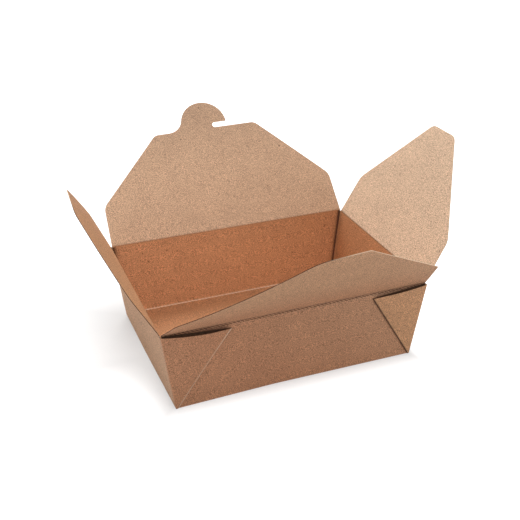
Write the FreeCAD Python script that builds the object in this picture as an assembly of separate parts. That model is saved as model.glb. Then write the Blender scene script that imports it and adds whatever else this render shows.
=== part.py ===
"""A takeaway box folded from one sheet of kraft board: a tapered tray with glued corner webs and
four flaps that stand open. Millimetres, +Z up, origin on the table at the middle of the floor.
+X runs along the long side, to the right as seen from the front, and +Y runs to the back."""
import FreeCAD, Part
import math
import os

Vector = FreeCAD.Vector

# The board, and the clearances that folded board needs
board = 0.45             # thickness of the sheet
crease_clearance = 0.15  # between a flap's root and the top edge of its wall
stack_clearance = 0.15   # between closed flaps that lie on each other

# The tray, measured on the middle of the board
floor_length = 200.0
floor_width = 144.4
rim_length = 216.0       # between the creases of the two end flaps
rim_width = 151.0        # between the creases of the two long flaps
crease_height = 66.0     # height of the front crease above the table

# The corner webs: two plies each, folded along a diagonal and laid on the long walls
web_drop = 4.8           # how far the tip of the diagonal lies below the front crease
web_gap = 1.6            # how far the pocket between the plies is open at the rim
web_mouth = 0.8          # slit between the end wall and the folded edge of the long wall, at the rim
web_fold_share = 0.9     # radius of the rounded diagonal fold, as a share of the board's thickness

# The flaps: half widths along the crease, and distances out from it
side_clearance = 0.6     # between a flap's root and what stands beside it
shoulder_radius = 12.0   # rounding where a flap's short flank meets its slope
tip_radius = 8.0         # rounding where a slope meets the top edge

front_angle = 132.0      # opening angles as the box stands: 0 is closed, 180 is laid out level
front_shoulder_half = 101.0
front_shoulder_height = 33.0
front_top_half = 16.5
front_flap_height = 96.0

back_angle = 133.5
back_shoulder_half = 106.0
back_shoulder_height = 36.6
back_top_half = 47.2
back_flap_height = 97.3

left_angle = 117.0
left_shoulder_half = 73.1
left_shoulder_height = 37.5
left_top_half = 22.5
left_flap_height = 90.3

right_angle = 119.7
right_shoulder_half = 73.1
right_shoulder_height = 36.7
right_top_half = 15.9
right_flap_height = 108.9

# The hook tab on the back flap
head_radius = 21.0       # the round head of the hook
head_rise = 5.2          # centre of the head above the flap's top edge
throat_radius = 14.0     # hollow curve from the top edge up to the head
slot_width = 5.0         # opening under the head, above the flap's top edge
slot_depth_edge = 7.4    # where the slot ends, measured from the middle of the flap

# Heights of the creases: the end flaps close first, then the front one, then the back one
crease_step = board + stack_clearance
front_crease = crease_height
end_crease = crease_height - crease_step
back_crease = crease_height + crease_step
half_board = board / 2.0
root_gap = half_board + crease_clearance

# Half sizes used by several pieces
half_floor_x = floor_length / 2.0
half_floor_y = floor_width / 2.0
half_rim_x = rim_length / 2.0
half_rim_y = rim_width / 2.0
web_stand = 2.0 * board + web_gap
web_fold_start = 2.0 * board / 3.0  # up the diagonal from the foot, still inside the end wall
long_wall_half = half_rim_x - half_board - web_mouth


def panel(points):
    """A flat panel: the polygon on its middle surface, thickened by half a board each way."""
    normal = (points[1] - points[0]).cross(points[2] - points[0]).normalize()
    face = Part.Face(Part.makePolygon(points + points[:1]))
    face.translate(normal * -half_board)
    return face.extrude(normal * board)


def trim(shape, point, normal):
    """Cut away everything beyond a plane, on the side its normal points to."""
    return shape.cut(Part.makeCylinder(2.0 * rim_length, rim_length, point, normal))


def at_height(low, high, z):
    """The point at height z on the line through two points."""
    return low + (high - low) * ((z - low.z) / (high.z - low.z))


def long_wall_crease(side):
    """Height of the crease above a long wall; side is -1 in front and +1 behind."""
    return front_crease if side < 0 else back_crease


def long_wall_edge(end, side):
    """Foot and top of the folded edge of a long wall, next to the end wall on that side."""
    foot = Vector(end * half_floor_x, side * half_floor_y, half_board)
    return foot, Vector(end * long_wall_half, side * half_rim_y, long_wall_crease(side))


def web_corners(end, side):
    """Middle-surface corners of a web: its inner ply on the long wall, then its outer ply."""
    foot, rim = long_wall_edge(end, side)
    up = (Vector(foot.x, rim.y, rim.z) - foot).normalize()
    outward = Vector(0, side * up.z, -abs(up.y))
    outer_foot = foot + outward * (2.0 * board)
    outer_rim = Vector(end * half_rim_x, side * (half_rim_y + web_stand), end_crease)

    # The four panels round a floor corner fill a full turn in the sheet; both plies are equal
    inward = Vector(-end, 0, 0)
    wall_corner = (rim - foot).getAngle(inward)
    end_corner = (outer_rim - outer_foot).getAngle(Vector(0, -side, 0))
    ply = (1.5 * math.pi - wall_corner - end_corner) / 2.0
    diagonal = inward * math.cos(wall_corner - ply) + up * math.sin(wall_corner - ply)
    tip = at_height(foot, foot + diagonal, crease_height - web_drop)

    inner = [point + outward * board for point in (foot, at_height(foot, rim, end_crease), tip)]
    return inner, [outer_foot, outer_rim, tip + outward * (2.0 * board)]


def web(end, side):
    """One corner web: two plies and the rounded fold along the diagonal that joins them."""
    inner, outer = web_corners(end, side)
    foot = (inner[0] + outer[0]) * 0.5
    tip = (inner[2] + outer[2]) * 0.5
    diagonal = (tip - foot).normalize()
    start = foot + diagonal * web_fold_start
    bead = Part.makeCylinder(web_fold_share * board, (tip - start).Length, start, diagonal)
    return [panel(inner), panel(outer), bead]


def long_wall(side):
    """A long wall, from the table up to its crease."""
    left_foot, left_top = long_wall_edge(-1, side)
    right_foot, right_top = long_wall_edge(1, side)
    left_low = at_height(left_foot, left_top, -board)
    right_low = at_height(right_foot, right_top, -board)
    wall = panel([left_low, right_low, right_top, left_top])
    return trim(wall, Vector(0, 0, 0), Vector(0, 0, -1))


def end_wall(end):
    """An end wall, from the table up to its crease, trimmed flush with the webs' outer plies."""
    half_foot = half_floor_y + web_stand
    half_top = half_rim_y + web_stand + board
    front_foot, back_foot = [Vector(end * half_floor_x, y, half_board) for y in (-half_foot, half_foot)]
    front_top, back_top = [Vector(end * half_rim_x, y, end_crease) for y in (-half_top, half_top)]
    front_low = at_height(front_foot, front_top, -board)
    back_low = at_height(back_foot, back_top, -board)
    wall = panel([front_low, back_low, back_top, front_top])
    wall = trim(wall, Vector(0, 0, 0), Vector(0, 0, -1))
    for side in (-1, 1):
        outer = web_corners(end, side)[1]
        normal = (outer[1] - outer[0]).cross(outer[2] - outer[0]).normalize() * (-end * side)
        wall = trim(wall, outer[0] + normal * half_board, normal)
    return wall


def make_tray():
    """Floor, four walls and four webs, folded from one sheet and so one solid."""
    corners = [(-1, -1), (1, -1), (1, 1), (-1, 1)]
    floor = panel([Vector(x * half_floor_x, y * half_floor_y, half_board) for x, y in corners])
    pieces = [long_wall(-1), long_wall(1), end_wall(-1), end_wall(1)]
    for end, side in corners:
        pieces += web(end, side)
    return floor.multiFuse(pieces).removeSplitter()


def rounded_polygon(corners):
    """A closed wire through (u, h, radius) corners, each rounded by an arc of its own radius."""
    count = len(corners)
    points = [Vector(u, h, 0) for u, h, radius in corners]
    tangents = []
    for i, (u, h, radius) in enumerate(corners):
        here = points[i]
        back = (points[i - 1] - here).normalize()
        ahead = (points[(i + 1) % count] - here).normalize()
        half_turn = back.getAngle(ahead) / 2.0
        reach = radius / math.tan(half_turn)
        middle = (back + ahead).normalize() * (radius / math.sin(half_turn) - radius)
        tangents.append((here + back * reach, here + middle, here + ahead * reach))
    edges = []
    for i, (first, middle, last) in enumerate(tangents):
        if corners[i][2] > 0:
            edges.append(Part.Arc(first, middle, last).toShape())
        edges.append(Part.LineSegment(last, tangents[(i + 1) % count][0]).toShape())
    return Part.Wire(edges)


def flap_plate(root_half, shoulder_half, shoulder_height, top_half, height):
    """A flap lying flat: short flanks up from the crease, two slopes and a straight top edge."""
    wire = rounded_polygon([
        (-root_half, root_gap, 0.0),
        (root_half, root_gap, 0.0),
        (shoulder_half, shoulder_height, shoulder_radius),
        (top_half, height, tip_radius),
        (-top_half, height, tip_radius),
        (-shoulder_half, shoulder_height, shoulder_radius),
    ])
    face = Part.Face(wire)
    face.translate(Vector(0, 0, -half_board))
    return face.extrude(Vector(0, 0, board))


def hook_tab(top_edge):
    """The hook on the back flap: a round head on a neck, with a slot that runs in from the right."""
    head = Vector(0, top_edge + head_rise, 0)
    reach = head_radius + throat_radius
    throat_rise = throat_radius - head_rise
    throat = Vector(-math.sqrt(reach ** 2 - throat_rise ** 2), top_edge + throat_radius, 0)
    to_head = (head - throat).normalize()
    throat_start = Vector(throat.x, top_edge, 0)
    throat_end = throat + to_head * throat_radius
    throat_middle = throat + (to_head + Vector(0, -1, 0)).normalize() * throat_radius

    slot_top = top_edge + slot_width
    lip = math.sqrt(head_radius ** 2 - (slot_top - head.y) ** 2)
    head_top = head + Vector(0, head_radius, 0)
    slot_lip = Vector(lip, slot_top, 0)
    slot_radius = slot_width / 2.0
    slot_centre = Vector(slot_depth_edge + slot_radius, top_edge + slot_radius, 0)
    slot_above = Vector(slot_centre.x, slot_top, 0)
    slot_end = Vector(slot_depth_edge, slot_centre.y, 0)
    slot_below = Vector(slot_centre.x, top_edge, 0)
    inside_right = Vector(slot_centre.x, top_edge - throat_radius, 0)
    inside_left = Vector(throat.x, top_edge - throat_radius, 0)

    wire = Part.Wire([
        Part.Arc(throat_start, throat_middle, throat_end).toShape(),
        Part.Arc(throat_end, head_top, slot_lip).toShape(),
        Part.LineSegment(slot_lip, slot_above).toShape(),
        Part.Arc(slot_above, slot_end, slot_below).toShape(),
        Part.LineSegment(slot_below, inside_right).toShape(),
        Part.LineSegment(inside_right, inside_left).toShape(),
        Part.LineSegment(inside_left, throat_start).toShape(),
    ])
    face = Part.Face(wire)
    face.translate(Vector(0, 0, -half_board))
    return face.extrude(Vector(0, 0, board))


def place_flap(flap, crease_point, turn, hinge_direction, opening):
    """Turn a flap about Z so that it points inward, set it on its crease, and open it."""
    flap.rotate(Vector(0, 0, 0), Vector(0, 0, 1), turn)
    flap.translate(crease_point)
    flap.rotate(crease_point, hinge_direction, opening)
    return flap


def make_front_flap():
    """The front flap points to +Y when it is closed."""
    flap = flap_plate(half_rim_x - side_clearance, front_shoulder_half, front_shoulder_height,
                      front_top_half, front_flap_height)
    return place_flap(flap, Vector(0, -half_rim_y, front_crease), 0, Vector(1, 0, 0), front_angle)


def make_back_flap():
    """The back flap carries the hook; its slot opens to +X as the box is seen from the front."""
    flap = flap_plate(half_rim_x - side_clearance, back_shoulder_half, back_shoulder_height,
                      back_top_half, back_flap_height)
    flap = flap.fuse(hook_tab(back_flap_height)).removeSplitter()
    flap = flap.mirror(Vector(0, 0, 0), Vector(0, 1, 0))
    return place_flap(flap, Vector(0, half_rim_y, back_crease), 0, Vector(-1, 0, 0), back_angle)


def make_end_flap(end, opening, shoulder_half, shoulder_height, top_half, height):
    """An end flap; end is -1 on the left and +1 on the right."""
    flap = flap_plate(half_rim_y - half_board - side_clearance, shoulder_half, shoulder_height,
                      top_half, height)
    crease_point = Vector(end * half_rim_x, 0, end_crease)
    return place_flap(flap, crease_point, end * 90, Vector(0, end, 0), opening)


def write(name, shape):
    """Check one sub-part and write it to its own file."""
    solid = shape.Solids[0]
    print(name, "valid", shape.isValid(), "solids", len(shape.Solids), "volume", round(solid.Volume, 1))
    solid.exportStep("parts/" + name + ".step")


os.makedirs("parts", exist_ok=True)
write("tray", make_tray())
write("front_flap", make_front_flap())
write("back_flap", make_back_flap())
write("left_flap", make_end_flap(-1, left_angle, left_shoulder_half, left_shoulder_height,
                                 left_top_half, left_flap_height))
write("right_flap", make_end_flap(1, right_angle, right_shoulder_half, right_shoulder_height,
                                  right_top_half, right_flap_height))
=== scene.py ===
# %% [markdown]
# # A kraft takeaway box, open on a table
# The box is one die-cut sheet of brown board, folded into a tray with four flaps. This file dresses
# the solid model of the box: it loads that model as a fixed frame, builds each panel again as a thin
# sheet of board with soft folds, gives it a paper finish, and lights it as a small product photograph.
# Everything is in metres, +Z is up, and the front of the box faces -Y.

# %% Load the frame
import math
import bpy
import numpy as np
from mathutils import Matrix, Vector


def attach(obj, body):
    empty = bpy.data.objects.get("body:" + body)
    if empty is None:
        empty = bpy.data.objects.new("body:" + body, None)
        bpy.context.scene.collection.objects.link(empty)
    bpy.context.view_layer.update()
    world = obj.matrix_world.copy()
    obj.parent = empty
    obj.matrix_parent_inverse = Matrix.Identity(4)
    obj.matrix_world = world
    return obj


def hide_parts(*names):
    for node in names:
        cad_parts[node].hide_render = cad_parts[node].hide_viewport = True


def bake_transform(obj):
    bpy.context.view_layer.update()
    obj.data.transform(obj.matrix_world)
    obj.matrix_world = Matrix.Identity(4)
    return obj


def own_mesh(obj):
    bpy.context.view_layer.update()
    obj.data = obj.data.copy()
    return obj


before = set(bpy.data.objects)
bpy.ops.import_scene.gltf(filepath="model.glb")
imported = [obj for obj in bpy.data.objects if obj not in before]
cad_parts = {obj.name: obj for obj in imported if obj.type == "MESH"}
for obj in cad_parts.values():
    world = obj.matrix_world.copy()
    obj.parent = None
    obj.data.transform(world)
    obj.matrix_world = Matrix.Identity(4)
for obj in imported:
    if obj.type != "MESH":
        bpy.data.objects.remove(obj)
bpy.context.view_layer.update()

# %% [markdown]
# ## The camera
# The camera looks down at the box from the front left, at about 27 degrees. It could be placed by eye,
# but here its distance, height and turn were worked out so that the corners of the tray fall where a
# photograph of such a box shows them. A lens of 60.7 mm keeps the far side only a little smaller.

# %% Place the camera
def put_in_scene(name, data):
    """A new object in the scene that shows the given mesh, lamp or camera."""
    made = bpy.data.objects.new(name, data)
    bpy.context.scene.collection.objects.link(made)
    return made


def direction(azimuth, elevation):
    """The unit vector (sin a cos e, -cos a cos e, sin e) from the box towards a place, in degrees:
    azimuth a is 0 straight in front of the box and -90 at its left, elevation e is 90 above it."""
    turn, lift = math.radians(azimuth), math.radians(elevation)
    return Vector((math.sin(turn) * math.cos(lift), -math.cos(turn) * math.cos(lift), math.sin(lift)))


camera_azimuth, camera_elevation = -21.526, 27.188
camera_distance = 0.802563
camera_target = Vector((0.026703, 0.073369, 0.030))

camera_data = bpy.data.cameras.new("camera")
camera_data.lens = 60.7
camera_data.sensor_width = 36.0
camera = put_in_scene("camera", camera_data)
to_camera = direction(camera_azimuth, camera_elevation)
camera.location = camera_target + to_camera * camera_distance
camera.rotation_euler = (-to_camera).to_track_quat("-Z", "Y").to_euler()
bpy.context.scene.camera = camera
print("camera at", [round(value, 3) for value in camera.location])

# %% [markdown]
# ## The sizes of the box
# These repeat the solid model's sizes, in metres. Every crease is a line that a flap turns about: it
# has an origin, a direction along the crease, and a direction that points inward when the flap is shut.

# %% Sizes and creases
MM = 0.001
board = 0.45 * MM
half_board = board / 2
half_floor = np.array([100.0, 72.2]) * MM
half_rim = np.array([108.0, 75.5]) * MM
front_height, end_height, back_height = 66.0 * MM, 65.4 * MM, 66.6 * MM
fold_zone = 0.4 * MM       # how far each side of a crease the bend reaches

X_AXIS, Y_AXIS, Z_AXIS = np.eye(3)
creases = {
    "front_flap": {"origin": (0, -half_rim[1], front_height), "along": X_AXIS, "inward": Y_AXIS},
    "back_flap": {"origin": (0, half_rim[1], back_height), "along": X_AXIS, "inward": -Y_AXIS},
    "left_flap": {"origin": (-half_rim[0], 0, end_height), "along": Y_AXIS, "inward": X_AXIS},
    "right_flap": {"origin": (half_rim[0], 0, end_height), "along": Y_AXIS, "inward": -X_AXIS},
}
for name, crease in creases.items():
    crease["origin"] = np.array(crease["origin"], float)

# %% [markdown]
# ## From a sheet to a piece of board
# Each panel starts as a sheet with no thickness: a grid of points with rows and columns. Several grids
# can meet at shared points, so a weld joins them into one sheet. The sheet is then thickened: its
# points move half a thickness along their normals, to both sides, and the open border gets side
# faces. That gives a closed mesh whose three kinds of face, the two sides of the board and its cut
# edge, take different materials.

# %% A grid of points, and the weld of several
weld_grid = 1e6       # steps in a metre that a weld rounds to
weld_shift = 0.137    # keeps round sizes off the place where rounding turns over


def patch(points, along, distance, deep=0.0, top_wear_and_shade=0.0, bottom_wear_and_shade=0.0):
    """A grid of points with five numbers for each point: how far along the crease it lies and how far
    from the crease, in metres, how deep its brown is, and the wear and painted shade of its top and
    its bottom face. Positive is pale wear; negative is painted shade, which is dark."""
    points = np.asarray(points, float)
    shape = points.shape[:2]
    numbers = [np.broadcast_to(values, shape) for values in (along, distance, deep, top_wear_and_shade, bottom_wear_and_shade)]
    return points, np.stack(numbers, -1)


def weld(patches):
    """Join patches into one sheet. Points that round to the same micrometre get the same number."""
    points = np.concatenate([grid.reshape(-1, 3) for grid, numbers in patches])
    numbers = np.concatenate([numbers.reshape(-1, 5) for grid, numbers in patches])
    quads, offset = [], 0
    for grid, _ in patches:
        number = np.arange(grid.shape[0] * grid.shape[1]).reshape(grid.shape[:2]) + offset
        ring = [number[:-1, :-1], number[:-1, 1:], number[1:, 1:], number[1:, :-1]]
        quads.append(np.stack(ring, -1).reshape(-1, 4))
        offset += number.size
    key = np.round(points * weld_grid + weld_shift).astype(np.int64)
    _, first, new_number = np.unique(key, axis=0, return_index=True, return_inverse=True)
    quads = new_number.reshape(-1)[np.concatenate(quads)]
    return points[first], numbers[first], quads


test_grid = np.stack([*np.meshgrid([0, 1, 2], [0, 1], indexing="ij"), np.zeros((3, 2))], -1) * MM
test_sheet = weld([patch(test_grid, 0, 0), patch(test_grid + [2 * MM, 0, 0], 0, 0)])
print("two grids of six points that share a side weld to", len(test_sheet[0]), "points")

# %% [markdown]
# For the thickness two things are needed: which way each point of the sheet faces, and which edges lie
# on its border. A border edge is one that only a single quad has.

# %% Normals and borders
def sheet_normals(points, quads):
    """Normal of each point: the sum of the crossed diagonals of the quads round it, made unit."""
    a, b, c, d = (points[quads[:, k]] for k in range(4))
    face_normal = np.cross(c - a, d - b)
    total = np.zeros_like(points)
    for k in range(4):
        np.add.at(total, quads[:, k], face_normal)
    return total / np.linalg.norm(total, axis=1, keepdims=True)


def border_edges(quads):
    """Directed edges that only one quad has: the outline of the sheet and of its holes."""
    starts = quads.reshape(-1)
    ends = np.roll(quads, -1, axis=1).reshape(-1)
    size = int(quads.max()) + 1
    one_way, other_way = starts * size + ends, ends * size + starts
    alone = ~np.isin(one_way, other_way)
    return starts[alone], ends[alone]


print("the test sheet's outline has", len(border_edges(test_sheet[2])[0]), "edges")

# %% [markdown]
# The two skins of the board and its cut edge are joined in one mesh. The map named "sheet" keeps how
# far along and how far from the crease each point lies, so that a pattern can follow the fold, and
# two attributes keep the tones. Edges sharper than 50 degrees stay crisp.

# %% A piece of board
crisp_edge = math.radians(50)


def board_piece(name, patches, materials):
    """A piece of board from grid patches. Top face points are sheet + normal * half the board, bottom
    face points are sheet - normal * half the board. Materials are top, bottom and cut edge."""
    points, numbers, quads = weld(patches)
    normals = sheet_normals(points, quads)
    count = len(points)
    start, stop = border_edges(quads)
    sides = np.stack([stop, start, start + count, stop + count], 1)
    faces = np.concatenate([quads, quads[:, ::-1] + count, sides])
    kind = np.repeat([0, 1, 2], [len(quads), len(quads), len(sides)])

    mesh = bpy.data.meshes.new(name)
    offset = normals * half_board
    mesh.from_pydata(np.concatenate([points + offset, points - offset]).tolist(), [], faces.tolist())
    mesh.polygons.foreach_set("material_index", kind.astype(np.int32))
    mesh.polygons.foreach_set("use_smooth", kind < 2)
    corner = np.zeros(len(mesh.loops), np.int32)
    mesh.loops.foreach_get("vertex_index", corner)
    sheet_uv = numbers[corner % count, :2]
    mesh.uv_layers.new(name="sheet").data.foreach_set("uv", sheet_uv.astype(np.float32).ravel())
    # The wear tone holds pale wear where positive and painted shade where negative.
    tones = {"deep": np.tile(numbers[:, 2], 2), "wear_and_shade": np.concatenate([numbers[:, 3], numbers[:, 4]])}
    for label, values in tones.items():
        tone = mesh.attributes.new(label, "FLOAT", "POINT")
        tone.data.foreach_set("value", values.astype(np.float32))
    for material in materials:
        mesh.materials.append(material)
    mesh.update()
    mesh.set_sharp_from_angle(angle=crisp_edge)
    piece = put_in_scene(name, mesh)
    print(name, "has", len(faces), "faces")
    return piece


print("the board is", round(2 * half_board / MM, 2), "mm thick")

# %% [markdown]
# Profiles and outlines are bent lines with rounded corners, since board never folds quite sharp.

# %% Bent lines
def rounded_path(corners, radii, spacing):
    """Points along a bent line whose corners are rounded. At a corner of radius r and inner angle a,
    the arc starts r / tan(a / 2) before the corner, and it is swept about its centre in equal turns."""
    corners = np.asarray(corners, float)
    path = [corners[:1]]
    for before, here, after, radius in zip(corners[:-2], corners[1:-1], corners[2:], radii):
        back = (before - here) / np.linalg.norm(before - here)
        ahead = (after - here) / np.linalg.norm(after - here)
        inner_angle = math.acos(float(np.clip(back @ ahead, -1, 1)))
        reach = radius / math.tan(inner_angle / 2)
        middle = (back + ahead) / np.linalg.norm(back + ahead)
        centre = here + middle * radius / math.sin(inner_angle / 2)
        first, last = here + back * reach - centre, here + ahead * reach - centre
        turn = math.pi - inner_angle
        share = np.linspace(0, 1, 9)[:, None]
        arc = (np.sin((1 - share) * turn) * first + np.sin(share * turn) * last) / math.sin(turn)
        path.append(straight(path[-1][-1], centre + first, spacing)[1:])
        path.append(centre + arc[1:])
    path.append(straight(path[-1][-1], corners[-1], spacing)[1:])
    return np.concatenate(path)


def straight(start, stop, spacing):
    """Evenly spaced points from start to stop, at most one spacing apart."""
    start, stop = np.asarray(start, float), np.asarray(stop, float)
    steps = max(1, math.ceil(np.linalg.norm(stop - start) / spacing))
    return start + (stop - start) * np.linspace(0, 1, steps + 1)[:, None]


def along_line(line):
    """The distance of each point of a bent line from its start: the running sum of its steps."""
    return np.concatenate([[0], np.cumsum(np.linalg.norm(np.diff(line, axis=0), axis=1))])


def points_at(line, distances):
    """Points of a flat bent line at given distances along it, each between its two neighbours."""
    return np.stack([np.interp(distances, along_line(line), line[:, k]) for k in range(2)], 1)


test_corner = rounded_path([(0, 0), (20 * MM, 0), (20 * MM, 20 * MM)], [5 * MM], 2 * MM)
print("a 40 mm line rounded to 5 mm is", round(along_line(test_corner)[-1] / MM, 1), "mm long")

# %% [markdown]
# ## Kraft board
# Kraft board is unbleached wood pulp: light brown, matt, with short fibres that lie every way, a few
# dark flecks, and a faint mottle. Noise at three scales draws that. The fibre noise also drives a
# small bump, so that low light catches it. Two tones ride on the sheet. The deep tone paints a deeper
# brown where board gets only the light that bounces off more board: painted bounce light. The wear
# tone is the pale bare line on a sharp fold where it is positive; where it is negative it is painted
# shade, the dark line of a gap and other spots where no light gets in.

# %% Helpers for node trees
def node(tree, kind, **values):
    """Add a node and set its input sockets by name, or else its own settings."""
    made = tree.nodes.new(kind)
    for key, value in values.items():
        if key in made.inputs:
            made.inputs[key].default_value = value
        else:
            setattr(made, key, value)
    return made


def ramp(tree, source, start, stop, low, high):
    """A clamped straight ramp: low where the source is at start, high where it is at stop."""
    made = node(tree, "ShaderNodeMapRange")
    for socket, value in zip(("From Min", "From Max", "To Min", "To Max"), (start, stop, low, high)):
        made.inputs[socket].default_value = value
    tree.links.new(source, made.inputs["Value"])
    return made.outputs["Result"]


def combine(tree, operation, first, second):
    """Two number sockets put together: their product, or the greater of them."""
    made = node(tree, "ShaderNodeMath", operation=operation)
    tree.links.new(first, made.inputs[0])
    tree.links.new(second, made.inputs[1])
    return made.outputs[0]


def blend_colours(tree, amount, first, second):
    """Mix two colours, each a colour socket or three numbers, by an amount socket."""
    made = node(tree, "ShaderNodeMix", data_type="RGBA")
    tree.links.new(amount, made.inputs["Factor"])
    for label, colour in (("A", first), ("B", second)):
        if isinstance(colour, tuple):
            made.inputs[label].default_value = (*colour, 1)
        else:
            tree.links.new(colour, made.inputs[label])
    return made.outputs["Result"]


def sheet_place(tree):
    """How far along the crease and how far from it a point lies, from the sheet's own map."""
    sheet = node(tree, "ShaderNodeUVMap", uv_map="sheet")
    split = node(tree, "ShaderNodeSeparateXYZ")
    tree.links.new(sheet.outputs["UV"], split.inputs["Vector"])
    return split.outputs["X"], split.outputs["Y"]


def paper(name, roughness, specular):
    """A new matt material, its node tree and its shader."""
    material = bpy.data.materials.new(name)
    material.use_nodes = True
    shader = material.node_tree.nodes["Principled BSDF"]
    shader.inputs["Roughness"].default_value = roughness
    shader.inputs["Specular IOR Level"].default_value = specular
    return material, material.node_tree, shader


print("node helpers:", [helper.__name__ for helper in (node, ramp, combine, paper)])

# %% [markdown]
# The creases of this box are cut half through in short slanted dashes, so that thick board folds in a
# clean line. A sine wave along the crease, leaned over by the distance from it, draws such dashes.

# %% The dashes of a crease
dash_pitch, dash_slant = 3.2 * MM, 1.6


def crease_wave(tree):
    """sin((along + slant * distance) * 2 pi / pitch), and the distance from the crease without sign."""
    along, distance = sheet_place(tree)
    lean = node(tree, "ShaderNodeMath", operation="MULTIPLY_ADD")
    tree.links.new(distance, lean.inputs[0])
    lean.inputs[1].default_value = dash_slant
    tree.links.new(along, lean.inputs[2])
    phase = node(tree, "ShaderNodeMath", operation="MULTIPLY")
    tree.links.new(lean.outputs[0], phase.inputs[0])
    phase.inputs[1].default_value = 2 * math.pi / dash_pitch
    wave = node(tree, "ShaderNodeMath", operation="SINE")
    tree.links.new(phase.outputs[0], wave.inputs[0])
    far = node(tree, "ShaderNodeMath", operation="ABSOLUTE")
    tree.links.new(distance, far.inputs[0])
    return wave.outputs[0], far.outputs[0]


print("the front crease has", int(2 * half_rim[0] / dash_pitch), "dashes")

# %% [markdown]
# One function makes every kind of board in the box, since they differ only in tone and in how strong
# the crease's line is.

# %% The board material
fibre_scale, mottle_scale, fleck_scale = 1700.0, 45.0, 330.0
fleck_colour, score_colour = (0.12, 0.06, 0.03), (0.085, 0.042, 0.022)
# The first colour is bare worn board; the second is painted shade, the near-black where no light gets in.
bare_colour, painted_shade_colour = (0.92, 0.74, 0.56), (0.03, 0.014, 0.008)


def kraft(name, plain, deep, score=0.0, reach=2.4 * MM, gap=0.12, grain=0.5):
    """Board paint = mix(plain, deep) * grain * mottle, then flecks, then the score line's dashes,
    then pale wear and dark painted shade. The line shows within reach of the crease; score is its
    strength, and gap is the share of it that is left between two dashes."""
    material, tree, shader = paper(name, roughness=0.72, specular=0.3)
    place = node(tree, "ShaderNodeTexCoord").outputs["Object"]
    fibres = node(tree, "ShaderNodeTexNoise", Scale=fibre_scale, Detail=2.0, Roughness=0.6)
    mottle = node(tree, "ShaderNodeTexNoise", Scale=mottle_scale, Detail=2.0)
    flecks = node(tree, "ShaderNodeTexNoise", Scale=fleck_scale, Detail=1.0)
    for texture in (fibres, mottle, flecks):
        tree.links.new(place, texture.inputs["Vector"])
    deep_tone = node(tree, "ShaderNodeAttribute", attribute_name="deep").outputs["Fac"]
    wear_and_shade_tone = node(tree, "ShaderNodeAttribute", attribute_name="wear_and_shade").outputs["Fac"]

    fine = ramp(tree, fibres.outputs["Fac"], 0.36, 0.64, 1 - grain, 1 + grain)
    coarse = ramp(tree, mottle.outputs["Fac"], 0.3, 0.7, 0.96, 1.04)
    base = node(tree, "ShaderNodeVectorMath", operation="SCALE")
    tree.links.new(blend_colours(tree, deep_tone, plain, deep), base.inputs[0])
    tree.links.new(combine(tree, "MULTIPLY", fine, coarse), base.inputs["Scale"])
    fleck_mask = ramp(tree, flecks.outputs["Fac"], 0.72, 0.80, 0.0, 0.7)
    paint = blend_colours(tree, fleck_mask, base.outputs["Vector"], fleck_colour)

    wave, far = crease_wave(tree)
    if score:
        dashes = ramp(tree, wave, -0.5, 0.5, gap, 1.0)
        line = ramp(tree, far, reach, 0.54 * reach, 0.0, score)
        paint = blend_colours(tree, combine(tree, "MULTIPLY", dashes, line), paint, score_colour)
    worn = ramp(tree, wear_and_shade_tone, 0.0, 0.8, 0.0, 1.0)
    broken_up = ramp(tree, wave, -0.6, 0.4, 0.45, 1.0)
    paint = blend_colours(tree, combine(tree, "MULTIPLY", worn, broken_up), paint, bare_colour)
    # Negative wear is painted shade: the paint turns to the near-black of a gap.
    paint = blend_colours(tree, ramp(tree, wear_and_shade_tone, 0.0, -1.0, 0.0, 1.0), paint, painted_shade_colour)
    tree.links.new(paint, shader.inputs["Base Color"])

    bump = node(tree, "ShaderNodeBump", Strength=0.35, Distance=0.12 * MM)
    tree.links.new(fibres.outputs["Fac"], bump.inputs["Height"])
    tree.links.new(bump.outputs["Normal"], shader.inputs["Normal"])
    return material


def cut_edge(name, left, right):
    """The bare edge of the board: one colour at negative along, turning to another at positive."""
    material, tree, shader = paper(name, roughness=0.8, specular=0.2)
    along = sheet_place(tree)[0]
    side = ramp(tree, along, -12 * MM, 12 * MM, 0.0, 1.0)
    tree.links.new(blend_colours(tree, side, left, right), shader.inputs["Base Color"])
    return material


print("a fibre is drawn about", round(1000 / fibre_scale, 2), "mm wide")

# %% [markdown]
# Board of one sheet still shows several browns, and they are painted here as lit and shaded copies of
# one board. The faces that stand in the light are painted pale, those inside the tray are painted warm
# for the light that bounces between them, and the left flap's inside is painted darker, as it is turned
# from the light; the outsides of the front and the right have painted tones of their own. Each kind has
# a plain and a deep tone. The outside has the dashed dark line along its creases, the inside only a
# thin one. A cut edge is paler than the face, but where it lies in a gap it is painted dark, as shade,
# and at one end of the front and left flaps it is painted paler still, as a highlight.

# %% The kinds of board in this box
thin = 1.1 * MM    # how far from the crease the thin line of an inner face reaches
outside = kraft("kraft_outside", (0.505, 0.298, 0.177), (0.50, 0.243, 0.132), score=0.88)
right_outside = kraft("kraft_right_outside", (0.49, 0.285, 0.168), (0.58, 0.314, 0.167), score=0.88)
front_outside = kraft("kraft_front_outside", (0.548, 0.309, 0.175), (0.52, 0.262, 0.145), score=0.88)
warm_deep = (0.60, 0.31, 0.16)
inside = kraft("kraft_inside", (0.54, 0.345, 0.22), warm_deep, score=0.45, reach=thin, gap=0.5)
within = kraft("kraft_within", (0.51, 0.25, 0.12), (0.64, 0.355, 0.195))
pale_inside = kraft(
    "kraft_pale_inside", (0.585, 0.415, 0.285), warm_deep, score=0.65, reach=thin, gap=0.7, grain=0.55)
left_inside = kraft(
    "kraft_left_inside", (0.390, 0.205, 0.103), (0.455, 0.245, 0.125), score=0.2, reach=thin)
pale_edge = cut_edge("kraft_cut_edge", (0.62, 0.46, 0.32), (0.62, 0.46, 0.32))
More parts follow.
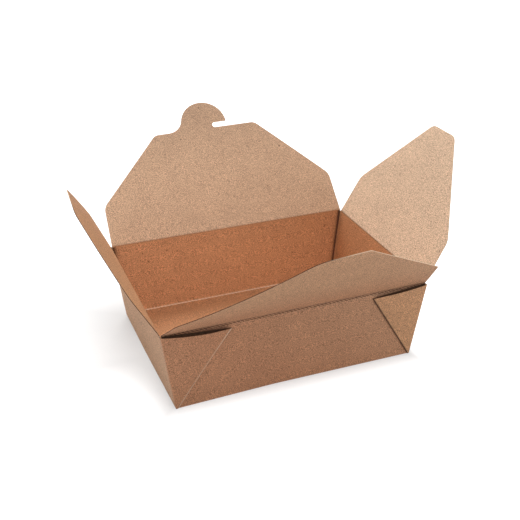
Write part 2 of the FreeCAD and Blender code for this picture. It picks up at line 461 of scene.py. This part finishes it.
# The end sheets' cut edges are painted dark towards the front, as shade in the front webs' pockets.
shaded_web_edge = cut_edge("kraft_web_edge_shaded", (0.10, 0.055, 0.03), (0.45, 0.3, 0.19))
# The front and left flaps' cut edges are painted dark at one end, as shade, and pale at the other, as a
# highlight.
edge_shade_and_highlight = cut_edge("kraft_cut_edge_shade_and_highlight", (0.07, 0.035, 0.02), (0.74, 0.58, 0.42))
print("materials:", [m.name for m in bpy.data.materials])

# %% [markdown]
# ## The floor and the long walls
# Floor, front wall and back wall are one strip, bent twice. Its shape is a profile carried along the
# box: the profile is the bent line from the front crease down, across the floor and up to the back
# crease, and each of its points is drawn out to both sides as far as the strip is wide there.

# %% The profile of the long strip
fold_radius, lift_radius = 0.7 * MM, 60 * MM
back_foot_lift = 1.2 * MM    # the floor bows up a little where it meets the back wall
back_foot = np.array([half_floor[1], half_board + back_foot_lift])
profile = rounded_path(
    [(-half_rim[1], front_height - fold_zone), (-half_floor[1], half_board),
     (half_floor[1] - 40 * MM, half_board), back_foot, (half_rim[1], back_height - fold_zone)],
    [fold_radius, lift_radius, fold_radius], 3 * MM)

# Four more points close to the back fold keep the worn line on it narrow
length = along_line(profile)
fold_at = length[np.argmin(np.linalg.norm(profile - back_foot, axis=1))]
profile = points_at(profile, np.union1d(length, fold_at + np.array([-2.0, -1.0, 1.0, 2.0]) * MM))
print("the strip's profile is", round(along_line(profile)[-1] / MM, 1), "mm long")

# %% [markdown]
# The strip is a little narrower than the box, because the end sheets close round its sides. Its front
# left foot is pushed out by 3 mm, as happens to thin board.

# %% The surface of the long strip
strip_foot_half = half_floor[0] - 0.78 * MM
strip_rim_half = half_rim[0] - 1.08 * MM
corner_push = np.array([1.1, -3.0, 0]) * MM


def settle(points):
    """Push the foot of the front left corner out a little, as in a box that has been leant on. The
    push is multiplied by three shares, and each falls in a straight line from 1 at the corner to 0
    at 80 mm along, 80 mm across and the height of the crease, so that the folds stay straight."""
    corner = np.array([-half_floor[0], -half_floor[1], 0])
    share = np.clip(1 - np.abs(points - corner) / np.array([80 * MM, 80 * MM, front_height]), 0, 1)
    return points + np.prod(share, axis=-1, keepdims=True) * corner_push


rise = np.clip((profile[:, 1] - half_board) / (front_height - half_board), 0, 1)
strip_half = strip_foot_half + (strip_rim_half - strip_foot_half) * rise
across = np.concatenate([[-1, -0.994, -0.986], np.linspace(-0.97, 0.97, 61), [0.986, 0.994, 1]])
strip = settle(np.stack([
    across[None, :] * strip_half[:, None],
    np.repeat(profile[:, :1], len(across), 1),
    np.repeat(profile[:, 1:], len(across), 1),
], -1))
print("the strip has", strip.shape[0], "by", strip.shape[1], "points")

# %% [markdown]
# The outside of the strip is painted deepest low down and at the left. The fold at the back of the
# floor is worn pale, where the board has been bent hard. Dark lines of painted shade stand where no
# light gets in: the slits in the back corners, and the long wall behind each front web, whose painted
# shade is darkest at the web's upper edge and lighter at the crease.

# %% The tones of the long strip
left_tip, right_tip = 54.6 * MM, 61.5 * MM    # how far along the wall the tips of the front webs lie
bare_strength, bare_width, slit_width = 2.2, 0.6 * MM, 2.2 * MM
shade_start, shade_width = 1.5 * MM, 3 * MM
x, y, z = strip[..., 0], strip[..., 1], strip[..., 2]
low_and_left = 0.65 + 0.35 * (1 - z / front_height) - 0.4 * x / half_rim[0]
floor_deep = 0.22 + 0.2 * x / half_floor[0]
on_floor = np.abs(profile[:, :1]) < half_floor[1] - 0.5 * MM
strip_deep = np.clip(np.where(on_floor, floor_deep, low_and_left), 0, 1)

from_fold = np.hypot(y - back_foot[0], z - back_foot[1])
bare_fold = bare_strength * np.exp(-(from_fold / bare_width) ** 2)
at_back = np.clip(y / half_floor[1] - 0.98, 0, 0.01) * 100    # 0 on the floor, 1 at the back wall
# Painted shade in the slits of the back corners
corner_slit_shade = np.exp(-((strip_half[:, None] - np.abs(x)) / slit_width) ** 2) * at_back

# Painted shade on the long wall behind each front web
behind_web = np.abs(x) - np.where(x < 0, left_tip, right_tip) - shade_start
shade_heights = np.array([55.0, 59.5, 61.0, 65.6]) * MM
web_shadow = np.clip(behind_web / shade_width, 0, 1) * (y < 0) * np.where(x < 0, 1.0, 0.85)
web_shadow = web_shadow * np.interp(z, shade_heights, [0.0, 0.95, 0.9, 0.15])
print("darkest shade behind a web:", round(float(web_shadow.max()), 2))

# %% [markdown]
# Now the strip can be made. It takes the place of the solid tray and stays where the tray is.

# %% The long strip as board
crease_gap = profile[:, 1:] - np.where(profile[:, :1] < 0, front_height, back_height)
strip_patch = patch(strip, x, crease_gap, strip_deep, bare_fold - corner_slit_shade, -web_shadow)
long_strip = board_piece("floor_and_long_walls", [strip_patch], [within, outside, pale_edge])
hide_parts("tray")
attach(long_strip, "tray")

# %% [markdown]
# ## The end walls and their corner webs
# An end wall carries a web on each side. The web is folded back on itself along a diagonal, so it lies
# on the long wall in two plies, and the inner ply ends at the long wall's own edge. One row of the
# sheet at a given height runs all that way: round the long wall's edge, along the inner ply, round the
# diagonal fold, back along the outer ply, round the corner, and across the end wall.

# %% Turns and straight stretches of a row
ply_gap = board + 0.04 * MM    # from the middle of one ply to the middle of the next


def half_turn(centre, first, second, radius, steps):
    """Points of a half circle: centre + radius * (cos t * first + sin t * second), t from -90 to 90."""
    t = np.linspace(-math.pi / 2, math.pi / 2, steps)[None, :, None]
    return centre[:, None] + radius * (np.cos(t) * first + np.sin(t) * second)


def between(start, stop, steps):
    """Straight rows of points from start to stop, without their two ends."""
    share = np.linspace(0, 1, steps + 2)[None, 1:-1, None]
    return start[:, None] * (1 - share) + stop[:, None] * share


def soft_corner(start, corner, stop, t):
    """The curve (1 - t)^2 start + 2 t (1 - t) corner + t^2 stop, which touches both straight sides."""
    return (1 - t) ** 2 * start + 2 * t * (1 - t) * corner + t ** 2 * stop


print("the two plies of a web are", round((ply_gap + board) / MM, 2), "mm thick together")

# %% [markdown]
# Three straight lines set a web's form: the edge of the long wall, the diagonal fold, and the corner of
# the box. All three climb from the foot of the corner, and the web's outer ply stands off at the rim.

# %% The lines of a web
web_rim_stand = 2.5 * MM    # how far the outer ply stands off the long wall's middle at the rim
web_tip_height = 61.2 * MM


def web_lines(end, side, v, tip_along):
    """The long wall's edge, the diagonal fold and the box's corner, each a straight line
    foot + (top - foot) * v with the height share v, and the direction out of the long wall."""
    crease = front_height if side < 0 else back_height
    foot = np.array([end * strip_foot_half, side * half_floor[1], half_board])
    rim = np.array([end * strip_rim_half, side * half_rim[1], end_height])
    slope = np.array([0, side * (half_rim[1] - half_floor[1]), crease - half_board])
    slope /= np.linalg.norm(slope)
    outward = np.array([0, side * slope[2], -abs(slope[1])])
    tip = np.array([end * tip_along, 0, web_tip_height])
    tip[1] = side * (half_floor[1] + (half_rim[1] - half_floor[1]) * (tip[2] / crease))
    corner_foot = np.array([end * half_floor[0], side * (half_floor[1] + 2 * board), half_board])
    corner_rim = np.array([end * half_rim[0], side * (half_rim[1] + web_rim_stand), end_height])
    wall_edge = foot + (rim - foot) * v
    diagonal = foot + (tip - foot) * v
    corner = corner_foot + (corner_rim - corner_foot) * v
    return wall_edge, diagonal, corner, outward


fold_top = web_lines(-1, -1, 1, left_tip)[1]
print("the front left web's fold ends at", np.round(fold_top / MM, 1), "mm")

# %% [markdown]
# A row joins those lines. Its outer ply is pushed out in a hump, as glued board springs, and its upper
# edge sags a little. The inner faces are painted dark, as shade, because no light gets between two
# plies, and so is the inside of the bend at the box's corner. On the left the diagonal fold is worn
# pale, and on the right it is painted dark, as it lies in its own shade.

# %% The rows of a web
corner_round = 0.8 * MM
# The line beside a diagonal fold is pale wear on the left web and painted shade on the right one.
fold_line = 1.3 * MM    # how wide the worn line beside a diagonal fold is
# Painted shade: between the plies, and inside the bend at the box's corner
ply_dark, corner_dark = -0.95, -0.9


def web_rows(end, side, rise, tip_along, bulge, sag, fold_wear_and_shade):
    """Rows of a web from the long wall's edge to the box's corner, one for each height share v in
    rise. With s from 0 at the fold to 1 at the corner, bulge pushes the outer ply out by
    sin(pi s) * v**2, and sag lowers its upper edge by sin(pi s**0.8) * v**6. Also returned are the
    wear and painted shade of the outer face and the painted shade of the inner face."""
    v = rise[:, None]
    inward = np.array([-end, 0, 0])
    wall_edge, diagonal, corner, outward = web_lines(end, side, v, tip_along)
    edge_fold = half_turn(wall_edge + outward * ply_gap / 2, -inward, outward, ply_gap / 2, 7)
    tip_fold = half_turn(diagonal + outward * 1.5 * ply_gap, inward, outward, ply_gap / 2, 9)
    inner = between(edge_fold[:, -1], tip_fold[:, 0], 6)
    to_ply = corner - tip_fold[:, -1]
    width = np.linalg.norm(to_ply, axis=1, keepdims=True)
    ply_end = corner - to_ply / width * np.minimum(corner_round, 0.4 * width)
    line_end = tip_fold[:, -1] + to_ply / width * np.minimum(fold_line, 0.3 * width)
    outer = np.concatenate([line_end[:, None], between(line_end, ply_end, 17)], 1)
    s = np.linalg.norm(outer - tip_fold[:, -1:], axis=-1, keepdims=True) / width[:, None]
    outer = outer + outward * bulge * np.sin(math.pi * s) * v[:, None] ** 2
    outer[..., 2] -= (sag * np.sin(math.pi * s ** 0.8) * v[:, None] ** 6)[..., 0]
    wall_start = corner - np.array([0, side * corner_round, 0])
    t = np.linspace(0, 1, 7)[None, :, None]
    bend = soft_corner(ply_end[:, None], corner[:, None], wall_start[:, None], t)
    rows = np.concatenate([edge_fold, inner, tip_fold, outer, bend], 1)

    # Up to the middle of the diagonal fold both faces are painted dark, as shade; its last three columns
    # get the fold's tone, pale wear or painted shade as the web has it
    first_outer = edge_fold.shape[1] + inner.shape[1] + tip_fold.shape[1]
    outer_wear_and_shade, inner_painted_shade = np.zeros((2, *rows.shape[:2]))
    outer_wear_and_shade[:, :first_outer - 5] = inner_painted_shade[:, :first_outer - 5] = ply_dark * v ** 4
    outer_wear_and_shade[:, first_outer - 3:first_outer] = fold_wear_and_shade
    inner_painted_shade[:, first_outer:-bend.shape[1]] = ply_dark
    inner_painted_shade[:, -bend.shape[1]:-2] = corner_dark
    return rows, outer_wear_and_shade, inner_painted_shade


# Of each web: where its tip is along the wall, bulge, sag, and the tone of its fold, pale wear where
# positive and painted shade where negative
left_web = (left_tip, 2.4 * MM, 0.3 * MM, 0.55)
right_web = (right_tip, 1.4 * MM, 0.0, -1.0)
plain_web = (57.9 * MM, 0.8 * MM, 0.2 * MM, 0.0)
print("a row of a web has", web_rows(-1, -1, np.ones(1), *left_web)[0].shape[1], "points")

# %% [markdown]
# An end sheet is one end wall between its two webs. Its foot turns round a fold and ends on the floor.

# %% The end sheets
end_fold_radius = 0.45 * MM
floor_overlap = 0.2 * MM    # the foot reaches this far on to the strip
rim_gap = 0.3 * MM          # the end wall stops this far below its crease, inside the crease's strip


def end_sheet(name, end, front_web, back_web, faces):
    """One end wall with its two webs, from the fold at the floor to the crease at the rim."""
    rise = np.concatenate([[0.012, 0.03], np.linspace(0.06, 1, 26)])
    front, *front_wear_and_shade = web_rows(end, -1, rise, *front_web)
    back, *back_wear_and_shade = (grid[:, ::-1] for grid in web_rows(end, 1, rise, *back_web))
    wall = between(front[:, -1], back[:, 0], 40)
    rows = np.concatenate([front, wall, back], 1)
    unmarked = np.zeros(wall.shape[:2])
    wears_and_shades = [np.concatenate([f, unmarked, b], 1) for f, b in zip(front_wear_and_shade, back_wear_and_shade)]
    if end < 0:
        wears_and_shades = wears_and_shades[::-1]
    deep = np.concatenate([np.ones(front.shape[1]), np.zeros(wall.shape[1]), np.ones(back.shape[1])])

    # Below the first row only the end wall goes on, round its fold and on to the floor
    first_column, last_column = front.shape[1] - 1, front.shape[1] + wall.shape[1]
    lowest = rows[0, first_column:last_column + 1]
    floor_start = (end * (strip_foot_half - floor_overlap), half_board)
    floor_fold = rounded_path(
        [floor_start, (end * half_floor[0], half_board), (lowest[0, 0], lowest[0, 2])],
        [end_fold_radius], 1.0 * MM)
    foot = np.stack([
        np.repeat(floor_fold[:, :1], len(lowest), 1),
        np.repeat(lowest[None, :, 1], len(floor_fold), 0),
        np.repeat(floor_fold[:, 1:], len(lowest), 1),
    ], -1)
    foot[-1] = lowest
    rows[-1, first_column:last_column + 1, 2] -= rim_gap
    distance = rows[..., 2] - end_height
    distance[:, :first_column] = distance[:, last_column + 1:] = -end_height
    rows, foot = settle(rows), settle(foot)
    patches = [patch(rows, rows[..., 1], distance, deep, *wears_and_shades), patch(foot, foot[..., 1], -end_height)]
    piece = board_piece(name, patches, faces)
    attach(piece, "tray")


end_sheet("left_end_and_webs", -1, left_web, plain_web, [within, outside, shaded_web_edge])
end_sheet("right_end_and_webs", 1, right_web, plain_web, [right_outside, within, shaded_web_edge])

# %% [markdown]
# ## The flaps
# A flap is drawn flat first, with two numbers for each point: how far along the crease, and how far
# from it. Its outline is a bent line with rounded corners, and every point of that line starts a row
# across the flap. The flat sheet is then stood up: each point turns about the crease by the flap's
# opening angle, which changes a little along the crease, because a real flap is slightly twisted.

# %% The flat rows of a flap
long_root, end_root = half_rim[0] - 0.6 * MM, half_rim[1] - 0.825 * MM


def flap_rows(root_half, shoulder, top, radii=(12 * MM, 9 * MM), right=None, columns=None):
    """Flat rows (along, out) of a flap, from the crease up to the straight top edge. Each side has a
    shoulder, a top corner and corner radii, which right gives where its side differs. A row reaches
    as far to each side as the outline does at its height, and columns, from -1 to 1, share it out."""
    sides = []
    left = (shoulder, top, radii)
    for shoulder, top, radii in (left, right or left):
        outline = rounded_path([(root_half, fold_zone), shoulder, top, (0, top[1])], radii, 5 * MM)
        sides.append(outline[:np.argmax(outline[:, 1] > top[1] - 1e-7) + 1])
    out = np.unique(np.round(np.concatenate([side[:, 1] for side in sides]), 7))
    left, right = (np.interp(out, side[:, 1], side[:, 0]) for side in sides)
    columns = np.linspace(-1, 1, 49) if columns is None else columns(right[-1])
    along = np.where(columns < 0, left[:, None], right[:, None]) * columns
    return along, np.repeat(out[:, None], len(columns), 1)


print("flap roots (mm):", round(2 * long_root / MM, 1), "long,", round(2 * end_root / MM, 1), "end")

# %% [markdown]
# The solid flaps are flat plates. The sheets follow them, but the left and the back flap are slightly
# twisted, and the front one is also curled, as thin board is after it has been folded.

# %% How the flaps stand
unit = 100 * MM    # twist, curl, cross and arch are the degrees that are added at one unit
shapes = {    # angle, twist, curl, cross, arch
    "front_flap": (137.26, -6.14, -5.95, 2.48, -0.55),
    "back_flap": (133.5, -2.1, 0.0, 0.0, 0.0),
    "left_flap": (117.0, -3.6, 0.0, 0.0, 0.0),
    "right_flap": (119.7, 0.0, 0.0, 0.0, 0.0),
}


def stand_up(name, along, out):
    """Turn flat points about their crease. With a = along / unit and b = out / unit, the angle in
    degrees from the shut position is angle + twist a + curl b + cross a b + arch a a. The point is
    then origin + along * crease + out * (cos angle * inward + sin angle * up)."""
    crease = creases[name]
    angle, twist, curl, cross, arch = shapes[name]
    a, b = along / unit, out / unit
    turn = np.radians(angle + twist * a + curl * b + cross * a * b + arch * a * a)[..., None]
    reach = np.cos(turn) * crease["inward"] + np.sin(turn) * Z_AXIS
    return crease["origin"] + along[..., None] * crease["along"] + out[..., None] * reach


for name in shapes:
    spot = stand_up(name, np.zeros(1), np.full(1, 90 * MM))[0]
    print(name, "stands", round(spot[2] / MM, 1), "mm high at 90 mm from its crease")

# %% [markdown]
# A flap of board lies flat when it is shut, because the next flap presses it down. Here each flap
# rides on its body and gets a mesh of its own; it is not pressed flat.

# %% Making a flap
def flatten_with(piece):
    """Give the piece a mesh of its own; it is not pressed flat here."""
    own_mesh(piece)


def make_flap(name, flats, faces, tones=None):
    """Build a flap from its flat patches and let it ride on its body. Tones, where given, is the deep
    tone and the wear and painted shade of the two faces at each point."""
    patches = [
        patch(stand_up(name, along, out), along, out, *(tones(along, out) if tones else ()))
        for along, out in flats]
    piece = board_piece(name.replace("flap", "flap_board"), patches, faces)
    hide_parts(name)
    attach(piece, name)
    flatten_with(piece)


# %% [markdown]
# Three flaps have plain outlines: straight sides that lean in, a shoulder, and a straight top edge. The
# front flap's two ends differ, because its right one is cut a little wider. The brown is deepest near
# the fold, where the light comes from other board.

# %% The plain flaps
def front_tones(along, out):
    """The front flap is deepest near its fold: 1.1 - out / 45 mm - 0.3 along / 100 mm, from 0 to 1."""
    return np.clip(1.1 - out / (45 * MM) - 0.3 * along / (100 * MM), 0, 1), 0.0, 0.0


def left_tones(along, out):
    """The left flap is deep at its fold and plain from 60 mm out."""
    return np.clip(1 - out / (60 * MM), 0, 1), 0.0, 0.0


front_flat = flap_rows(
    long_root, (103.1 * MM, 30.2 * MM), (16.5 * MM, 96.4 * MM), (9 * MM, 24 * MM),
    right=((104.6 * MM, 31.3 * MM), (22.0 * MM, 96.4 * MM), (1.5 * MM, 4 * MM)))
left_flat = flap_rows(end_root, (73.1 * MM, 37.5 * MM), (22.5 * MM, 90.3 * MM))
right_flat = flap_rows(end_root, (73.1 * MM, 36.7 * MM), (15.9 * MM, 108.9 * MM))
make_flap("front_flap", [front_flat], [front_outside, inside, edge_shade_and_highlight], front_tones)
make_flap("left_flap", [left_flat], [left_inside, outside, edge_shade_and_highlight], left_tones)
make_flap("right_flap", [right_flat], [outside, pale_inside, pale_edge])

# %% [markdown]
# ## The back flap and its hook
# The hook stands on the top edge of the back flap. Its two outlines start at the edge: the left one
# climbs a hollow curve and goes round the head, the right one goes round the end of the slot and out
# along the slot's upper side, and both end at the lip. Straight rows between the two outlines fill
# the hook like a fan, and its first row shares its points with the flap's top edge.

# %% The sizes of the hook
back_top = 97.3 * MM
head_centre, head_radius = np.array([0, 102.5]) * MM, 21 * MM
throat_radius = 14 * MM
throat_centre = np.array([
    -math.sqrt((head_radius + throat_radius) ** 2 - (back_top + throat_radius - head_centre[1]) ** 2),
    back_top + throat_radius])
slot_end, slot_half = 9.9 * MM, 2.5 * MM
base_steps, hook_rows = 22, 34
print("the hook's base is", round((slot_end - throat_centre[0]) / MM, 1), "mm wide")

# %% [markdown]
# The outlines are arcs and one straight line, as a die maker would bend the knife that cuts them.

# %% The outlines of the hook
def arc(centre, radius, first, last, steps):
    """Points of a circle, centre + radius * (cos a, sin a), for a from first to last in radians."""
    a = np.linspace(first, last, steps)
    return centre + radius * np.stack([np.cos(a), np.sin(a)], 1)


def hook_sides():
    """The two outlines of the hook from its base to its lip: throat and head, slot and slot's top."""
    meeting = math.atan2(*(throat_centre - head_centre)[::-1])
    lip = math.asin((back_top + 2 * slot_half - head_centre[1]) / head_radius)
    left = np.concatenate([
        arc(throat_centre, throat_radius, -math.pi / 2, meeting - math.pi, 24),
        arc(head_centre, head_radius, meeting, lip + 0.02, 80)[1:]])
    slot_centre = np.array([slot_end, back_top + slot_half])
    lip_point = head_centre + head_radius * np.array([math.cos(lip), math.sin(lip)])
    slot_top = np.array([slot_end, back_top + 2 * slot_half])

    # The lip is a little blunt: the head's arc ends past it, and the slot's side stops short of it
    right = np.concatenate([
        arc(slot_centre, slot_half, 1.5 * math.pi, 0.5 * math.pi, 20),
        straight(slot_top, lip_point - np.array([0.4 * MM, 0]), 0.5 * MM)[1:]])
    return left, right


hook_left, hook_right = hook_sides()
print("the hook's top is", round(hook_left[:, 1].max() / MM, 1), "mm from the crease")

# %% [markdown]
# The columns of the flap are placed so that two of them are the ends of the hook's base. The weld then
# finds the same points in the flap's last row and in the hook's first.

# %% The back flap
def back_columns(top_half):
    """Column positions, as shares of the half width, with the hook's base between two of them."""
    left, right = throat_centre[0] / top_half, slot_end / top_half
    return np.concatenate([
        np.linspace(-1, left, 9), np.linspace(left, right, base_steps)[1:],
        np.linspace(right, 1, 14)[1:]])


def hook_flat(top_half):
    """Flat rows (along, out) of the hook. Row k joins the points of the two outlines that lie at equal
    shares k / n of the left one's length and (k / n) ** 1.35 of the right one's."""
    share = np.linspace(0, 1, hook_rows)
    left_side = points_at(hook_left, share * along_line(hook_left)[-1])
    right_side = points_at(hook_right, share ** 1.35 * along_line(hook_right)[-1])
    base = np.linspace(throat_centre[0] / top_half, slot_end / top_half, base_steps) * top_half
    across_hook = ((base - base[0]) / (base[-1] - base[0]))[None, :, None]
    rows = left_side[:, None] * (1 - across_hook) + right_side[:, None] * across_hook
    rows[0] = np.stack([base, np.full(base_steps, back_top)], 1)
    return rows[..., 0], rows[..., 1]


def back_tones(along, out):
    """The back flap's inner face darkens by a seventh from 70 to 110 mm out, towards the hook."""
    return 0.0, -0.15 * np.clip((out - 70 * MM) / (40 * MM), 0, 1), 0.0


back_flat = flap_rows(
    long_root, (106 * MM, 36.6 * MM), (47.2 * MM, back_top), (12 * MM, 8 * MM), columns=back_columns)
hook = hook_flat(back_flat[0][-1, -1])
make_flap("back_flap", [back_flat, hook], [inside, outside, pale_edge], back_tones)

# %% [markdown]
# ## The creases
# Where a flap leaves its wall the board bends round. A short strip of board fills that bend, from the
# wall to the flap as it stands now. It is not tied to the tray or to the flap, so it stays in place
# when a body moves.

# %% Crease strips
def crease_strip(name, wall_lean, root_half, faces):
    """A strip along a crease. Its section is a soft corner from the wall over the crease to the flap,
    and it starts and ends one fold zone from the crease."""
    crease = creases[name]
    along = np.linspace(-root_half, root_half, 61)[None, :]
    t = np.linspace(0, 1, 9)[:, None, None]
    down = math.sin(wall_lean) * crease["inward"] - math.cos(wall_lean) * Z_AXIS
    bend = crease["origin"] + along[..., None] * crease["along"]
    wall_side = bend + fold_zone * down
    flap_side = stand_up(name, along, np.full_like(along, fold_zone))
    points = soft_corner(wall_side, bend, flap_side, t)
    distance = (2 * t[..., 0] - 1) * fold_zone
    piece = board_piece(name.replace("flap", "crease"), [patch(points, along, distance, 1.0)], faces)
    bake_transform(piece)


long_lean = math.atan2(half_rim[1] - half_floor[1], front_height)
end_lean = math.atan2(half_rim[0] - half_floor[0], end_height)
crease_strip("front_flap", long_lean, long_root, [front_outside, inside, pale_edge])
crease_strip("back_flap", long_lean, long_root, [inside, outside, pale_edge])
crease_strip("left_flap", end_lean, end_root, [left_inside, outside, pale_edge])
crease_strip("right_flap", end_lean, end_root, [outside, pale_inside, pale_edge])

# %% [markdown]
# ## Table, light and background
# The box stands on a plain white table and is seen against a plain white surround. Both look brighter
# to the camera than they are as light sources, so that they don't wash out the browns of the board.

# %% What the camera sees
def seen_ray(tree):
    """1 for a ray from the camera or off a glossy face, 0 for any other."""
    path = node(tree, "ShaderNodeLightPath")
    return combine(tree, "MAXIMUM", path.outputs["Is Camera Ray"], path.outputs["Is Glossy Ray"])


surround_light = 0.03
world = bpy.data.worlds.new("surround")
bpy.context.scene.world = world
world.use_nodes = True
background = world.node_tree.nodes["Background"]
background.inputs["Color"].default_value = (1, 1, 1, 1)
surround_strength = ramp(world.node_tree, seen_ray(world.node_tree), 0.0, 1.0, surround_light, 1.0)
world.node_tree.links.new(surround_strength, background.inputs["Strength"])
print("the surround lights the box with", surround_light, "of what the camera sees")

# %% [markdown]
# What the camera sees of the table is brightened by an emission, so the table meets the white surround
# without a line. Close to the box the emission is weak, so that the soft shadow still shows, and the
# weak glow also paints a soft shade round the box. It grows away from the box on each of the four
# sides, over a distance that fits the shadow there, and its low end falls a little towards the back,
# which paints the shade there darker.

# %% The table
table_paint, lifted_paint = (0.62, 0.62, 0.62, 1), (0.42, 0.42, 0.42, 1)
glow_fades = [    # axis, the foot of the box, and how far from it the glow is full
    ("X", -0.100, -0.160), ("X", 0.100, 0.008), ("Y", -0.0722, -0.019), ("Y", 0.0722, 0.1)]
low_glow, low_glow_behind, full_glow = 0.5, 0.38, 1.0

far_side = 4.0    # metres from the box to the table's edge
table_mesh = bpy.data.meshes.new("table")
corners = [(x * far_side, y * far_side, 0) for x, y in ((-1, -1), (1, -1), (1, 1), (-1, 1))]
table_mesh.from_pydata(corners, [], [(0, 1, 2, 3)])
table = put_in_scene("table", table_mesh)

table_material = bpy.data.materials.new("table_white")
table_material.use_nodes = True
table_mesh.materials.append(table_material)
tree = table_material.node_tree
tree.nodes.remove(tree.nodes["Principled BSDF"])
place = node(tree, "ShaderNodeSeparateXYZ")
tree.links.new(node(tree, "ShaderNodeTexCoord").outputs["Object"], place.inputs["Vector"])
print("the table is", table.dimensions[0], "m wide")

# %% [markdown]
# The greatest of the four fades counts. At the left the glow comes back faster in front, where the
# shadow and its painted shade end early.

# %% The glow of the table
left_fade, *other_fades = [
    ramp(tree, place.outputs[axis], edge, edge + reach, 0.0, 1.0) for axis, edge, reach in glow_fades]
faster_in_front = ramp(tree, place.outputs["Y"], 0.0, -0.06, 1.0, 8.0)
lift = combine(tree, "MULTIPLY", left_fade, faster_in_front)
for fade in other_fades:
    lift = combine(tree, "MAXIMUM", lift, fade)
glow_strength = ramp(tree, lift, 0.0, 1.0, low_glow, full_glow)
# Behind the box the low end of the glow drops further, a darker painted shade.
towards_back = ramp(tree, place.outputs["Y"], 0.010, 0.055, low_glow, low_glow_behind)
tree.links.new(towards_back, glow_strength.node.inputs["To Min"])
glow = node(tree, "ShaderNodeEmission")
tree.links.new(glow_strength, glow.inputs["Strength"])

lifted = node(tree, "ShaderNodeAddShader")
tree.links.new(node(tree, "ShaderNodeBsdfDiffuse", Color=lifted_paint).outputs[0], lifted.inputs[0])
tree.links.new(glow.outputs[0], lifted.inputs[1])
choice = node(tree, "ShaderNodeMixShader")
tree.links.new(seen_ray(tree), choice.inputs["Fac"])
tree.links.new(node(tree, "ShaderNodeBsdfDiffuse", Color=table_paint).outputs[0], choice.inputs[1])
tree.links.new(lifted.outputs[0], choice.inputs[2])
tree.links.new(choice.outputs[0], tree.nodes["Material Output"].inputs["Surface"])
print("the table's material has", len(tree.nodes), "nodes")

# %% [markdown]
# The light comes from six large panels: a strong one from high behind, and weaker ones from the front,
# from low in front, from the right, from the left and from above. Their strengths were found by lighting
# the box with one panel at a time and mixing the pictures until every side had the right tone.

# %% The light panels
panel_width, panel_distance = 1.1, 1.6


def soft_panel(name, azimuth, elevation, watts):
    """A square light panel that faces the box from the given direction, in degrees."""
    data = bpy.data.lights.new(name, "AREA")
    data.shape = "SQUARE"
    data.size = panel_width
    data.energy = watts
    away = direction(azimuth, elevation)
    panel = put_in_scene(name, data)
    panel.location = away * panel_distance
    panel.rotation_euler = away.to_track_quat("Z", "Y").to_euler()


soft_panel("back_panel", 180, 55, 26.4)
soft_panel("front_panel", 0, 50, 6.9)
soft_panel("low_front_panel", 40, 15, 6.4)
soft_panel("right_panel", 80, 20, 3.0)
soft_panel("left_panel", -80, 22, 8.8)
soft_panel("top_panel", 0, 89, 5.0)
bpy.context.scene.view_settings.view_transform = "Standard"
print("lights:", [light.name for light in bpy.data.lights])
